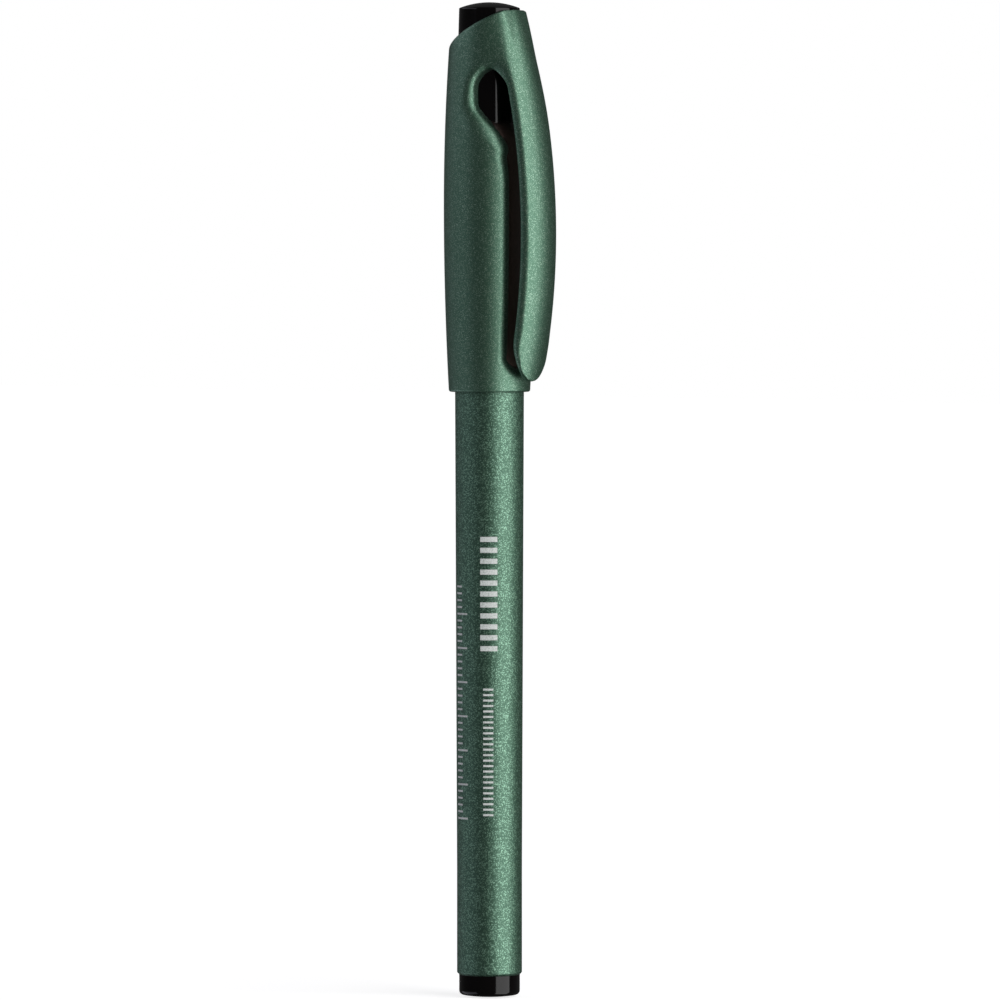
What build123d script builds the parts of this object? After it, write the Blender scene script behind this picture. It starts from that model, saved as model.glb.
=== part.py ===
from build123d import *
import math
import os

# A capped fineliner pen standing on its rear end: +Z runs up the pen to the cap, +X is the clip's side.
# Every length is in millimetres.

# Rear plug
plug_head_length = 3.3
plug_head_radius = 4.46
plug_edge_radius = 0.9
plug_stem_length = 8.0
plug_stem_wall = 0.9
plug_rib_thickness = 0.9
plug_rib_lead = 1.6

# Barrel
barrel_length = 86.9
barrel_rear_radius = 4.77
barrel_front_radius = 5.06
barrel_bore_radius = 4.05
barrel_parallel_length = 16.0
barrel_rear_chamfer = 0.3

# Ink reservoir and its film
reservoir_radius = 3.4
film_thickness = 0.1
nib_pocket_depth = 6.0

# Grip section
spigot_length = 9.0
grip_length = 27.0
grip_radius = 4.45
grip_end_radius = 4.15
grip_taper_length = 6.5
neck_radius = 2.85
neck_length = 5.5
nose_length = 6.5
nose_end_radius = 1.3
nose_wall = 1.0
click_ring_height = 0.06
click_ring_half_length = 0.6
click_ring_offset = 5.0

# Nib and its steel sleeve
nib_radius = 0.4
nib_tip_radius = 0.18
nib_tip_length = 0.7
nib_reach = 1.2
nib_headroom = 4.2
sleeve_radius = 0.8
sleeve_reach = 2.4
sleeve_seat_depth = 7.0
sleeve_lip_radius = 0.62
sleeve_lip_length = 1.0

# Cap shell
cap_overlap = 1.3
cap_lip_radius = 5.96
cap_lip_round = 0.3
cap_belly_radius = 6.7
cap_belly_height = 27.3
cap_shoulder_radius = 5.94
cap_crown_radius = 4.9
cap_crown_rise = 6.2
cap_bore_radius = 5.3
cap_neck_bore_radius = 4.72
cap_ledge_drop = 12.0
cap_rim_rise = 2.9
cap_rim_angle = 30.5
cap_rim_round = 0.4

# Opening under the clip, a side cut through the shell
gap_flat_reach = 5.0
gap_eye_reach = 1.5
gap_eye_drop = 6.5
gap_eye_radius = 2.8
gap_eye_tail = 8.5
gap_end_height = 7.4
gap_end_drop = 5.6
gap_edge_round = 1.1

# Pocket clip
clip_width = 6.9
clip_thickness = 2.0
clip_crown_radius = 7.4
clip_edge_round = 0.7
clip_inner_round = 0.3
clip_root_flare = 1.1
clip_root_depth = 2.6
clip_root_lap = 0.1
clip_apex_reach = 10.9
clip_apex_height = 23.1
clip_top_inset = 0.34
clip_lower_radius = 90.0
clip_tip_height = 1.6
clip_tip_length = 5.3
clip_tip_flare = 0.05
clip_foot_radius = 2.6
clip_foot_height = 5.0
clip_foot_clearance = 0.12

# Inner cap
liner_wall = 0.62
head_radius = 4.6
head_top_radius = 4.45
head_rise = 0.85
head_edge_round = 0.25
head_plate = 1.6
head_reach = 0.65
seal_wall = 0.7

# Fits
press_clearance = 0.03
seal_clearance = 0.06
liner_clearance = 0.08
film_clearance = 0.15
nib_clearance = 0.04
axial_clearance = 0.4

# How far a cutting shape runs past what it cuts
cut_margin = 2.0

# Shares of a rounding that are tried in turn
ease_shares = (1, 0.5, 0.25)

# Heights and reaches that follow from the sizes above
barrel_rear_z = plug_head_length
barrel_front_z = barrel_rear_z + barrel_length
lip_z = barrel_front_z - cap_overlap
grip_end_z = barrel_front_z + grip_length
neck_z = grip_end_z + grip_taper_length
nose_z = neck_z + neck_length
nose_end_z = nose_z + nose_length
nib_tip_z = nose_end_z + sleeve_reach + nib_reach
spigot_z = barrel_front_z - spigot_length
stem_end_z = barrel_rear_z + plug_stem_length
reservoir_z = stem_end_z + plug_rib_lead
reservoir_end_z = grip_end_z - axial_clearance
plate_z = nib_tip_z + nib_headroom
head_top_z = plate_z + head_plate + head_rise
crown_z = head_top_z - head_reach
shoulder_z = crown_z - cap_crown_rise
belly_z = lip_z + cap_belly_height
ledge_z = shoulder_z - cap_ledge_drop
rim_z = shoulder_z + cap_rim_rise
eye_z = shoulder_z - gap_eye_drop
gap_top_z = eye_z + gap_eye_radius
root_z = gap_top_z - clip_root_lap
gap_shoulder_z = eye_z - gap_eye_tail
apex_z = lip_z + clip_apex_height
film_radius = reservoir_radius + film_thickness
section_bore_radius = film_radius + film_clearance
clip_fall = clip_apex_reach - cap_crown_radius + clip_top_inset
clip_upper_radius = (clip_fall**2 + (crown_z - apex_z) ** 2) / (2 * clip_fall)


def spun(*points):
    """Solid of revolution about the pen's axis from an outline of (radius, height) points."""
    face = make_face(Plane.XZ * Polyline(*points, close=True))
    return revolve(face, Axis.Z)


def ring_edges(shape, radius, height):
    """Circular edges about the pen's axis at one radius and height."""
    slack = press_clearance
    found = []
    for edge in shape.edges().filter_by(GeomType.CIRCLE):
        centre = edge.arc_center
        off_axis = math.hypot(centre.X, centre.Y)
        if off_axis < slack and abs(edge.radius - radius) < slack and abs(centre.Z - height) < slack:
            found.append(edge)
    return found


def eased(shape, corners, radius):
    """Rounds edges or corners, with less radius where the full one finds no room, and sharp where none does."""
    for share in ease_shares:
        try:
            return fillet(corners, radius * share)
        except ValueError:
            continue
    return shape


def make_barrel():
    """Drafted tube with a short parallel stretch at the rear."""
    parallel_z = barrel_rear_z + barrel_parallel_length
    outer = spun(
        (0, barrel_rear_z),
        (barrel_rear_radius - barrel_rear_chamfer, barrel_rear_z),
        (barrel_rear_radius, barrel_rear_z + barrel_rear_chamfer),
        (barrel_rear_radius, parallel_z),
        (barrel_front_radius, barrel_front_z),
        (0, barrel_front_z),
    )
    bore = Pos(0, 0, barrel_rear_z) * Cylinder(
        barrel_bore_radius, barrel_length, align=(Align.CENTER, Align.CENTER, Align.MIN)
    )
    return outer - bore


def make_plug():
    """Plug head outside the barrel, hollow stem inside it and a cross of ribs that carries the reservoir."""
    head = Cylinder(plug_head_radius, plug_head_length, align=(Align.CENTER, Align.CENTER, Align.MIN))
    head = fillet(ring_edges(head, plug_head_radius, 0), plug_edge_radius)
    stem_radius = barrel_bore_radius - press_clearance
    stem_inner = stem_radius - plug_stem_wall
    stem = spun(
        (stem_inner, barrel_rear_z),
        (stem_radius, barrel_rear_z),
        (stem_radius, stem_end_z),
        (stem_inner, stem_end_z),
    )
    rib_length = reservoir_z - barrel_rear_z
    rib_align = (Align.CENTER, Align.CENTER, Align.MIN)
    rib = Pos(0, 0, barrel_rear_z) * Box(stem_inner + stem_radius, plug_rib_thickness, rib_length, align=rib_align)
    return head + stem + rib + Rot(0, 0, 90) * rib


def make_reservoir():
    """Fibre rod with a pocket at its front end for the nib."""
    rod_length = reservoir_end_z - reservoir_z
    up = (Align.CENTER, Align.CENTER, Align.MIN)
    rod = Pos(0, 0, reservoir_z) * Cylinder(reservoir_radius, rod_length, align=up)
    pocket_z = reservoir_end_z - nib_pocket_depth
    pocket = Pos(0, 0, pocket_z) * Cylinder(nib_radius + nib_clearance, nib_pocket_depth, align=up)
    return rod - pocket


def make_film():
    """Thin sleeve wrapped on the rod."""
    return spun(
        (reservoir_radius, reservoir_z),
        (film_radius, reservoir_z),
        (film_radius, reservoir_end_z),
        (reservoir_radius, reservoir_end_z),
    )


def make_section():
    """Grip section: spigot in the barrel, grip, taper, sealing neck and nose."""
    spigot_radius = barrel_bore_radius - press_clearance
    ring_z = barrel_front_z + click_ring_offset
    outer = spun(
        (0, spigot_z),
        (spigot_radius, spigot_z),
        (spigot_radius, barrel_front_z),
        (grip_radius, barrel_front_z),
        (grip_radius, ring_z - click_ring_half_length),
        (grip_radius + click_ring_height, ring_z),
        (grip_radius, ring_z + click_ring_half_length),
        (grip_end_radius, grip_end_z),
        (neck_radius, neck_z),
        (neck_radius, nose_z),
        (nose_end_radius, nose_end_z),
        (0, nose_end_z),
    )
    sleeve_bore = sleeve_radius + press_clearance
    seat_z = nose_end_z - sleeve_seat_depth
    nib_bore = nib_radius + nib_clearance
    inner = spun(
        (0, spigot_z),
        (section_bore_radius, spigot_z),
        (section_bore_radius, grip_end_z),
        (neck_radius - nose_wall, neck_z),
        (nib_bore, neck_z),
        (nib_bore, seat_z),
        (sleeve_bore, seat_z),
        (sleeve_bore, nose_end_z),
        (0, nose_end_z),
    )
    return outer - inner


def make_sleeve():
    """Steel tube seated in the nose, drawn in to a fine lip round the nib."""
    seat_z = nose_end_z - sleeve_seat_depth
    end_z = nose_end_z + sleeve_reach
    bore = nib_radius + nib_clearance
    return spun(
        (bore, seat_z),
        (sleeve_radius, seat_z),
        (sleeve_radius, end_z - sleeve_lip_length),
        (sleeve_lip_radius, end_z),
        (bore, end_z),
    )


def make_nib():
    """Nib rod from the bottom of the reservoir's pocket to the writing point."""
    start_z = reservoir_end_z - nib_pocket_depth
    return spun(
        (0, start_z),
        (nib_radius, start_z),
        (nib_radius, nib_tip_z - nib_tip_length),
        (nib_tip_radius, nib_tip_z),
        (0, nib_tip_z),
    )


def make_inner_cap():
    """Liner tube that seats on the barrel's front rim, a domed head and a sleeve that seals the nose."""
    liner_radius = cap_bore_radius - liner_clearance
    liner_bore = liner_radius - liner_wall
    edge_z = head_top_z - head_rise
    outline = [
        Line((0, barrel_front_z), (liner_radius, barrel_front_z)),
        Line((liner_radius, barrel_front_z), (liner_radius, ledge_z)),
        Line((liner_radius, ledge_z), (head_radius, ledge_z)),
        Line((head_radius, ledge_z), (head_top_radius, edge_z)),
        TangentArc((0, head_top_z), (head_top_radius, edge_z), tangent=(1, 0)),
        Line((0, head_top_z), (0, barrel_front_z)),
    ]
    outer = revolve(make_face(Plane.XZ * Curve(outline)), Axis.Z)
    outer = fillet(ring_edges(outer, head_top_radius, edge_z), head_edge_round)
    seal_bore = neck_radius + seal_clearance
    seal_outer = seal_bore + seal_wall
    head_bore = head_top_radius - liner_wall
    hollow = spun(
        (0, barrel_front_z),
        (liner_bore, barrel_front_z),
        (liner_bore, ledge_z - liner_wall),
        (head_bore, ledge_z - liner_wall),
        (head_bore, plate_z),
        (0, plate_z),
    )
    seal = spun((seal_bore, neck_z), (seal_outer, neck_z), (seal_outer, plate_z), (seal_bore, plate_z))
    return outer - hollow + seal


def clip_section(depth, flare):
    """Cross-section of the clip at its apex: crowned outside, flat inside, its sides spread by the flare."""
    half = clip_width / 2
    drop = clip_crown_radius - math.sqrt(clip_crown_radius**2 - half**2)
    spine = (clip_apex_reach, 0)
    left = (clip_apex_reach - drop, -half)
    right = (clip_apex_reach - drop, half)
    inner = clip_apex_reach - depth
    outline = [
        ThreePointArc(left, spine, right),
        Line(right, (inner, half + flare)),
        Line((inner, half + flare), (inner, -half - flare)),
        Line((inner, -half - flare), left),
    ]
    section = make_face(Curve(outline))
    section = eased(section, section.vertices().sort_by(Axis.X)[-2:], clip_edge_round)
    section = eased(section, section.vertices().sort_by(Axis.X)[:2], clip_inner_round)
    return Pos(0, 0, apex_z) * section


def upper_bar(section, top_z):
    """Section carried up the clip's upper arc past a height."""
    axis = Axis((clip_apex_reach - clip_upper_radius, 0, apex_z), (0, -1, 0))
    turn = math.degrees(math.asin((top_z - apex_z) / (clip_upper_radius - clip_root_depth)))
    return revolve(section, axis, turn)


def lower_bar(section, low_z):
    """Section carried down the clip's lower arc past a height."""
    axis = Axis((clip_apex_reach - clip_lower_radius, 0, apex_z), (0, 1, 0))
    turn = math.degrees(math.asin((apex_z - low_z) / (clip_lower_radius - clip_root_depth)))
    return revolve(section, axis, turn)


def below(height):
    """Large block under a level."""
    span = crown_z * 2
    return Pos(0, 0, height) * Box(span, span, span, align=(Align.CENTER, Align.CENTER, Align.MAX))


def above(height):
    """Large block over a level."""
    span = crown_z * 2
    return Pos(0, 0, height) * Box(span, span, span, align=(Align.CENTER, Align.CENTER, Align.MIN))


def over_rim():
    """Everything above the sloped top of the shell, which rises towards the clip."""
    return Pos(0, 0, rim_z) * Rot(0, -cap_rim_angle, 0) * above(0)


def cap_body():
    """Bellied body of the shell before its opening is cut."""
    lip = (cap_lip_radius, lip_z)
    belly = (cap_belly_radius, belly_z)
    shoulder = (cap_shoulder_radius, shoulder_z)
    crown = (cap_crown_radius, crown_z)
    upper = TangentArc(belly, shoulder, tangent=(0, 1))
    outline = [
        Line((0, lip_z), lip),
        TangentArc(belly, lip, tangent=(0, -1)),
        upper,
        TangentArc(shoulder, crown, tangent=upper % 1),
        Line(crown, (0, crown_z)),
        Line((0, crown_z), (0, lip_z)),
    ]
    body = Rot(0, 0, 180) * revolve(make_face(Plane.XZ * Curve(outline)), Axis.Z)
    return eased(body, ring_edges(body, cap_lip_radius, lip_z), cap_lip_round)


def cap_bore():
    """Bore for the inner cap with the ledge that stops it."""
    return spun(
        (0, lip_z),
        (cap_bore_radius, lip_z),
        (cap_bore_radius, ledge_z),
        (cap_neck_bore_radius, ledge_z),
        (cap_neck_bore_radius, crown_z),
        (0, crown_z),
    )


def gap_cut():
    """Side cut under the clip: a round eye at the top, a shoulder, a flat stretch and a run-out at the lip."""
    outside = clip_apex_reach * 2
    eye_x = gap_eye_reach + gap_eye_radius
    end_z = lip_z + gap_end_height
    run_z = end_z - gap_end_drop
    run_x = cap_belly_radius
    outline = [
        Line((outside, gap_top_z), (eye_x, gap_top_z)),
        TangentArc((eye_x, gap_top_z), (gap_eye_reach, eye_z), tangent=(-1, 0)),
        Spline((gap_eye_reach, eye_z), (gap_flat_reach, gap_shoulder_z), tangents=((0, -1), (0, -1))),
        Line((gap_flat_reach, gap_shoulder_z), (gap_flat_reach, end_z)),
        TangentArc((gap_flat_reach, end_z), (run_x, run_z), tangent=(0, -1)),
        Line((run_x, run_z), (outside, run_z)),
        Line((outside, run_z), (outside, gap_top_z)),
    ]
    face = make_face(Plane.XZ * Curve(outline))
    return extrude(face, outside, both=True)


def gap_edges(body):
    """Edges round the opening on the outside of the shell."""
    found = []
    for edge in body.edges():
        box = edge.bounding_box()
        inside = box.min.X < gap_eye_reach - press_clearance
        middle = abs(box.max.Y) < press_clearance and abs(box.min.Y) < press_clearance
        if edge.geom_type != GeomType.LINE and not inside and not middle:
            found.append(edge)
    return found


def rim_face(solid):
    """Sloped top face of the shell."""
    rise = math.cos(math.radians(cap_rim_angle))
    flat = solid.faces().filter_by(GeomType.PLANE)
    return flat.sort_by(lambda face: abs(face.normal_at().Z - rise))[0]


def body_radius(height):
    """Radius of the shell's outside between lip and belly at a height above the lip."""
    swell = cap_belly_radius - cap_lip_radius
    arc_radius = (swell**2 + cap_belly_height**2) / (2 * swell)
    return cap_belly_radius - arc_radius + math.sqrt(arc_radius**2 - (cap_belly_height - height) ** 2)


def make_shell():
    """Cap shell with its opening, rounded edges, clip root and sloped rim."""
    body = cap_body() - gap_cut()
    body = eased(body, gap_edges(body), gap_edge_round)
    root = upper_bar(clip_section(clip_root_depth, clip_root_flare), crown_z + cut_margin) & above(root_z)
    solid = body + root - over_rim()
    solid = eased(solid, rim_face(solid).outer_wire().edges(), cap_rim_round)
    return solid - cap_bore()


def make_clip():
    """Clip below its root, with the rounded tip and the foot that meets the shell."""
    half = clip_width / 2 + clip_tip_flare
    tip_z = lip_z + clip_tip_height
    round_z = tip_z + clip_tip_length
    section = clip_section(clip_thickness, 0)
    bar = upper_bar(section, crown_z) & below(root_z)
    bar = bar + lower_bar(section, tip_z)
    foot_z = lip_z + clip_foot_height
    foot_x = body_radius(clip_foot_height) + clip_foot_clearance + clip_foot_radius
    inside = lower_bar(clip_section(clip_thickness + clip_foot_radius, 0), lip_z)
    foot = Pos(foot_x, 0, foot_z) * Sphere(clip_foot_radius) & inside
    outline = [
        EllipticalCenterArc((0, round_z), half, clip_tip_length, start_angle=180, arc_size=180),
        Line((half, round_z), (half, crown_z)),
        Line((half, crown_z), (-half, crown_z)),
        Line((-half, crown_z), (-half, round_z)),
    ]
    keep = extrude(Plane.YZ * make_face(Curve(outline)), clip_apex_reach * 2)
    return (bar + foot) & keep


os.makedirs("parts", exist_ok=True)
nodes = {
    "barrel_tube": make_barrel(),
    "end_plug": make_plug(),
    "ink_reservoir": make_reservoir(),
    "reservoir_film": make_film(),
    "grip_section": make_section(),
    "nib_sleeve": make_sleeve(),
    "fineliner_nib": make_nib(),
    "inner_cap": make_inner_cap(),
    "cap_shell": make_shell(),
    "pocket_clip": make_clip(),
}
for name, shape in nodes.items():
    export_step(shape, "parts/" + name + ".step")
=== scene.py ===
import logging
import math
from collections.abc import Sequence
from dataclasses import dataclass, field, replace
from enum import Enum

import bmesh
import bpy
import numpy as np
from bpy.types import Material, Mesh, Node, NodeSocket, NodeTree, Object
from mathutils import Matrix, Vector


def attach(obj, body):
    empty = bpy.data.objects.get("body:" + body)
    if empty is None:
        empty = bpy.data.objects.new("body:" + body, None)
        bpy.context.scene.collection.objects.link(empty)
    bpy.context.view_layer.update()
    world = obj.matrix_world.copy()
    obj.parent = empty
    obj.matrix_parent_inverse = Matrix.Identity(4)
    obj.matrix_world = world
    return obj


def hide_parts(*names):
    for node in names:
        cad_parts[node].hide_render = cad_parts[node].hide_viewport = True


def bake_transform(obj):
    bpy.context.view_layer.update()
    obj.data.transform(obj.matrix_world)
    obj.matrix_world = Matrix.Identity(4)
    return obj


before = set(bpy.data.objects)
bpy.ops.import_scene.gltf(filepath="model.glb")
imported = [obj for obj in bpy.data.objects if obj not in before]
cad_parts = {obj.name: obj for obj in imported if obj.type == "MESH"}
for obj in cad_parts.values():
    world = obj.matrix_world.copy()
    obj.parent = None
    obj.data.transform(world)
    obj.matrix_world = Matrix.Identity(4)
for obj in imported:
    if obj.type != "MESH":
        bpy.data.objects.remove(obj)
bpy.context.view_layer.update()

# A capped fineliner pen standing on its rear end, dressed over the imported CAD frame.
# The pen's axis is Z, its rear end rests on Z = 0 and the clip points along +X.
# Sizes of the pen are millimetres and angles degrees; meshes and the studio are in metres.

LOG = logging.getLogger("fineliner")
MM = 0.001
TINY = 1e-6
# Keeps a rounding finite where two surfaces run nearly parallel.
LEAST_BEND = 1e-3


class Body(Enum):
    """The moving bodies of the pen, by their names in the frame."""

    BARREL = "barrel"
    CAP = "cap"
    CLIP = "clip"


class Slot(Enum):
    """Names of the material slots for the pieces' finishes."""

    GREEN = "metallic_green_plastic"
    BLACK = "black_plastic"
    FIBRE = "ink_fibre"
    FILM = "clear_film"
    STEEL = "steel"
    NIB = "nib_plastic"


def linear(hex_colour: str) -> tuple[float, float, float, float]:
    """Turns an sRGB hex colour into linear light.

    Args:
        hex_colour: Six hex digits after a hash sign.

    Returns:
        Linear red, green and blue, with an alpha of 1.
    """
    levels = [int(hex_colour[i : i + 2], 16) / 255 for i in (1, 3, 5)]
    light = [v / 12.92 if v <= 0.04045 else ((v + 0.055) / 1.055) ** 2.4 for v in levels]
    return (light[0], light[1], light[2], 1.0)


@dataclass(frozen=True)
class NodeSheet:
    """A node tree, with short ways to add what the finishes, the print and the studio need."""

    tree: NodeTree

    def add(self, kind: str, sockets: dict | None = None, **settings: object) -> Node:
        """Adds one node with its settings, values and links.

        Args:
            kind: Blender's type name of the node.
            sockets: Input name or number to a value, or to the output socket that feeds it.
            settings: Properties of the node itself.

        Returns:
            The new node.
        """
        node = self.tree.nodes.new(kind)
        for name, value in settings.items():
            setattr(node, name, value)
        for key, value in (sockets or {}).items():
            if isinstance(value, NodeSocket):
                self.tree.links.new(value, node.inputs[key])
            else:
                node.inputs[key].default_value = value
        return node

    def sums(self, operation: str, *values: object) -> NodeSocket:
        """Adds one step of arithmetic on numbers or sockets."""
        return self.add("ShaderNodeMath", dict(enumerate(values)), operation=operation).outputs[0]

    def vectors(self, operation: str, *values: object) -> NodeSocket:
        """Adds one step of arithmetic on vectors or sockets."""
        return self.add("ShaderNodeVectorMath", dict(enumerate(values)), operation=operation).outputs[0]

    def spread(self, value: NodeSocket, start: Sequence[object], end: Sequence[object]) -> NodeSocket:
        """Maps one range evenly on to another and holds the value at its ends."""
        limits = dict(zip(("From Min", "From Max", "To Min", "To Max"), (*start, *end)))
        return self.add("ShaderNodeMapRange", {"Value": value, **limits}).outputs["Result"]

    def place(self) -> NodeSocket:
        """Adds the socket with a point's place on its own object."""
        return self.add("ShaderNodeTexCoord").outputs["Object"]

    def along(self, squeeze: float) -> NodeSocket:
        """Adds a point's place squeezed along the pen, so that a pattern on it draws out into lines."""
        sockets = {"Vector": self.place(), "Scale": (1.0, 1.0, squeeze)}
        return self.add("ShaderNodeMapping", sockets).outputs[0]

    def noise(self, place: NodeSocket, grain: float, detail: float) -> NodeSocket:
        """Adds a cloudy pattern with a grain in millimetres and some finer layers over it."""
        sockets = {"Vector": place, "Scale": 1 / (grain * MM), "Detail": detail}
        return self.add("ShaderNodeTexNoise", sockets).outputs["Fac"]

    def two_tones(self, share: NodeSocket, first: object, second: object) -> NodeSocket:
        """Mixes two colours, each a linear colour or a socket."""
        return self.add("ShaderNodeMix", {0: share, 6: first, 7: second}, data_type="RGBA").outputs[2]

    def relief(self, level: NodeSocket, strength: float, height: float) -> NodeSocket:
        """Adds a bump too fine to be modelled, with a height in millimetres."""
        sockets = {"Height": level, "Strength": strength, "Distance": height * MM}
        return self.add("ShaderNodeBump", sockets).outputs["Normal"]


def blank_material(name: str) -> tuple[Material, NodeSheet]:
    """Makes a material with an empty node tree.

    Args:
        name: Name of the material.

    Returns:
        The material and its nodes.
    """
    material = bpy.data.materials.new(name)
    material.use_nodes = True
    material.node_tree.nodes.clear()
    return material, NodeSheet(material.node_tree)


@dataclass(frozen=True)
class Finish:
    """A finish, named for the real material and given by the inputs of its surface."""

    name: str

    def surface(self, sheet: NodeSheet) -> dict:
        """Gives the inputs of the principled surface, which each finish has its own way to make."""
        raise NotImplementedError

    def material(self) -> Material:
        """Makes the material with one principled surface.

        Returns:
            The material.
        """
        material, sheet = blank_material(self.name)
        shader = sheet.add("ShaderNodeBsdfPrincipled", self.surface(sheet))
        sheet.add("ShaderNodeOutputMaterial", {"Surface": shader.outputs[0]})
        return material


@dataclass(frozen=True)
class MetallicLacquer(Finish):
    """Aluminium-flake lacquer sprayed on moulded plastic, under a thin clear coat."""

    colour: str
    # Colour of the brightest flakes, a painted glint of flakes catching the light.
    painted_glint: str
    roughness: float
    flake: float
    tilt: float
    plain_share: float
    coat: float = 0.2
    coat_roughness: float = 0.3

    def surface(self, sheet: NodeSheet) -> dict:
        """Flakes lean at random, so the paint's highlight spreads wide, and a share of the flake cells
        takes a brighter colour, a painted glint, so the paint glitters finely.

        Args:
            sheet: The nodes of the material.

        Returns:
            The inputs of the principled surface.
        """
        # Real flake is a few hundredths of a millimetre; it is drawn coarser so that the glitter shows.
        sockets = {"Vector": sheet.place(), "Scale": 1 / (self.flake * MM)}
        cells = sheet.add("ShaderNodeTexVoronoi", sockets).outputs["Color"]
        lean = sheet.vectors("SUBTRACT", cells, (0.5,) * 3)
        facing = sheet.add("ShaderNodeNewGeometry").outputs["Normal"]
        leaned = sheet.vectors("MULTIPLY_ADD", lean, (self.tilt,) * 3, facing)
        # Painted glint: the flake cells past the plain share are painted towards the brighter colour, for
        # flakes that catch the light.
        red = sheet.add("ShaderNodeSeparateColor", {"Color": cells}).outputs["Red"]
        bright = sheet.spread(red, (self.plain_share, 1.0), (0.0, 1.0))
        return {
            "Base Color": sheet.two_tones(bright, linear(self.colour), linear(self.painted_glint)),
            "Metallic": 1.0,
            "Roughness": self.roughness,
            "Normal": sheet.vectors("NORMALIZE", leaned),
            "Coat Weight": self.coat,
            "Coat Roughness": self.coat_roughness,
        }


@dataclass(frozen=True)
class MouldedPlastic(Finish):
    """Injection-moulded plastic, polished or matt as its mould left it; low down it may be duller, with a
    paler colour painted in for dim reflected light.
    """

    colour: str
    worn: str
    roughness: float
    roughness_spread: float
    grain: float
    grain_height: float
    shine: float
    ior: float = 1.5
    grain_strength: float = 0.5
    grain_detail: float = 3.0
    drift_detail: float = 4.0
    drift_scale: float = 8.0
    drift_low: float = 0.3
    drift_high: float = 0.7
    # Colour painted low down in place of dim reflected light; on the inner cap it stands for the light seen
    # in the slot under the clip.
    inside: str = "#000000"
    # Height below which a paler colour is painted in for dim reflected light and the plastic turns duller;
    # as given here it lies under the pen.
    painted_light_below: float = -1.0
    painted_light_ease: float = 1.2
    inside_dulling: float = 0.35

    def surface(self, sheet: NodeSheet) -> dict:
        """A faint mould grain breaks the shine and the tone wanders a little, as in a real moulding.

        Args:
            sheet: The nodes of the material.

        Returns:
            The inputs of the principled surface.
        """
        place = sheet.place()
        grain = sheet.noise(place, self.grain, self.grain_detail)
        drift = sheet.noise(place, self.drift_scale * self.grain, self.drift_detail)
        colour = sheet.two_tones(drift, linear(self.colour), linear(self.worn))
        # Painted light: below a height the colour turns paler for dim reflected light, and the roughness
        # grows.
        height = sheet.add("ShaderNodeSeparateXYZ", {0: place}).outputs["Z"]
        high_z = (self.painted_light_below + self.painted_light_ease) * MM
        low_z = (self.painted_light_below - self.painted_light_ease) * MM
        low = sheet.spread(height, (high_z, low_z), (0.0, 1.0))
        span = (self.roughness - self.roughness_spread, self.roughness + self.roughness_spread)
        rough = sheet.spread(drift, (self.drift_low, self.drift_high), span)
        return {
            "Base Color": sheet.two_tones(low, colour, linear(self.inside)),
            "Roughness": sheet.sums("MULTIPLY_ADD", low, self.inside_dulling, rough),
            "IOR": self.ior,
            "Specular IOR Level": self.shine,
            "Normal": sheet.relief(grain, self.grain_strength, self.grain_height),
        }


@dataclass(frozen=True)
class DrawnSteel(Finish):
    """Stainless tube drawn through a die."""

    colour: str
    shade: str
    roughness: float
    line: float
    line_height: float = 0.004
    line_strength: float = 0.4
    line_detail: float = 2.0
    # Draw lines are hair-fine across the tube and forty times as long.
    squeeze: float = 0.025

    def surface(self, sheet: NodeSheet) -> dict:
        """Fine draw lines run along the tube and stretch its highlights.

        Args:
            sheet: The nodes of the material.

        Returns:
            The inputs of the principled surface.
        """
        lines = sheet.noise(sheet.along(self.squeeze), self.line, self.line_detail)
        return {
            "Base Color": sheet.two_tones(lines, linear(self.colour), linear(self.shade)),
            "Metallic": 1.0,
            "Roughness": self.roughness,
            "Normal": sheet.relief(lines, self.line_strength, self.line_height),
        }


@dataclass(frozen=True)
class BondedFibre(Finish):
    """Polyester fibre bonded into a rod and soaked with ink."""

    colour: str
    dry: str
    # Strands are drawn about three times their real width so that they show.
    fibre: float
    fibre_height: float = 0.03
    fibre_strength: float = 0.6
    fibre_detail: float = 3.0
    squeeze: float = 0.02
    roughness: float = 0.9

    def surface(self, sheet: NodeSheet) -> dict:
        """Long dark strands with paler dry ones between them, and no shine.

        Args:
            sheet: The nodes of the material.

        Returns:
            The inputs of the principled surface.
        """
        strands = sheet.noise(sheet.along(self.squeeze), self.fibre, self.fibre_detail)
        return {
            "Base Color": sheet.two_tones(strands, linear(self.colour), linear(self.dry)),
            "Roughness": self.roughness,
            "Normal": sheet.relief(strands, self.fibre_strength, self.fibre_height),
        }


@dataclass(frozen=True)
class ClearFilm(Finish):
    """Thin extruded film, clear with a cold tint."""

    colour: str
    haze: str
    wrinkle: float
    wrinkle_height: float = 0.05
    wrinkle_strength: float = 0.3
    wrinkle_detail: float = 2.0
    roughness: float = 0.12
    clearness: float = 0.85
    ior: float = 1.49

    def surface(self, sheet: NodeSheet) -> dict:
        """See-through and glossy, with faint wrinkles from being wrapped.

        Args:
            sheet: The nodes of the material.

        Returns:
            The inputs of the principled surface.
        """
        wrinkles = sheet.noise(sheet.place(), self.wrinkle, self.wrinkle_detail)
        return {
            "Base Color": sheet.two_tones(wrinkles, linear(self.colour), linear(self.haze)),
            "Roughness": self.roughness,
            "IOR": self.ior,
            "Transmission Weight": self.clearness,
            "Normal": sheet.relief(wrinkles, self.wrinkle_strength, self.wrinkle_height),
        }


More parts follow.
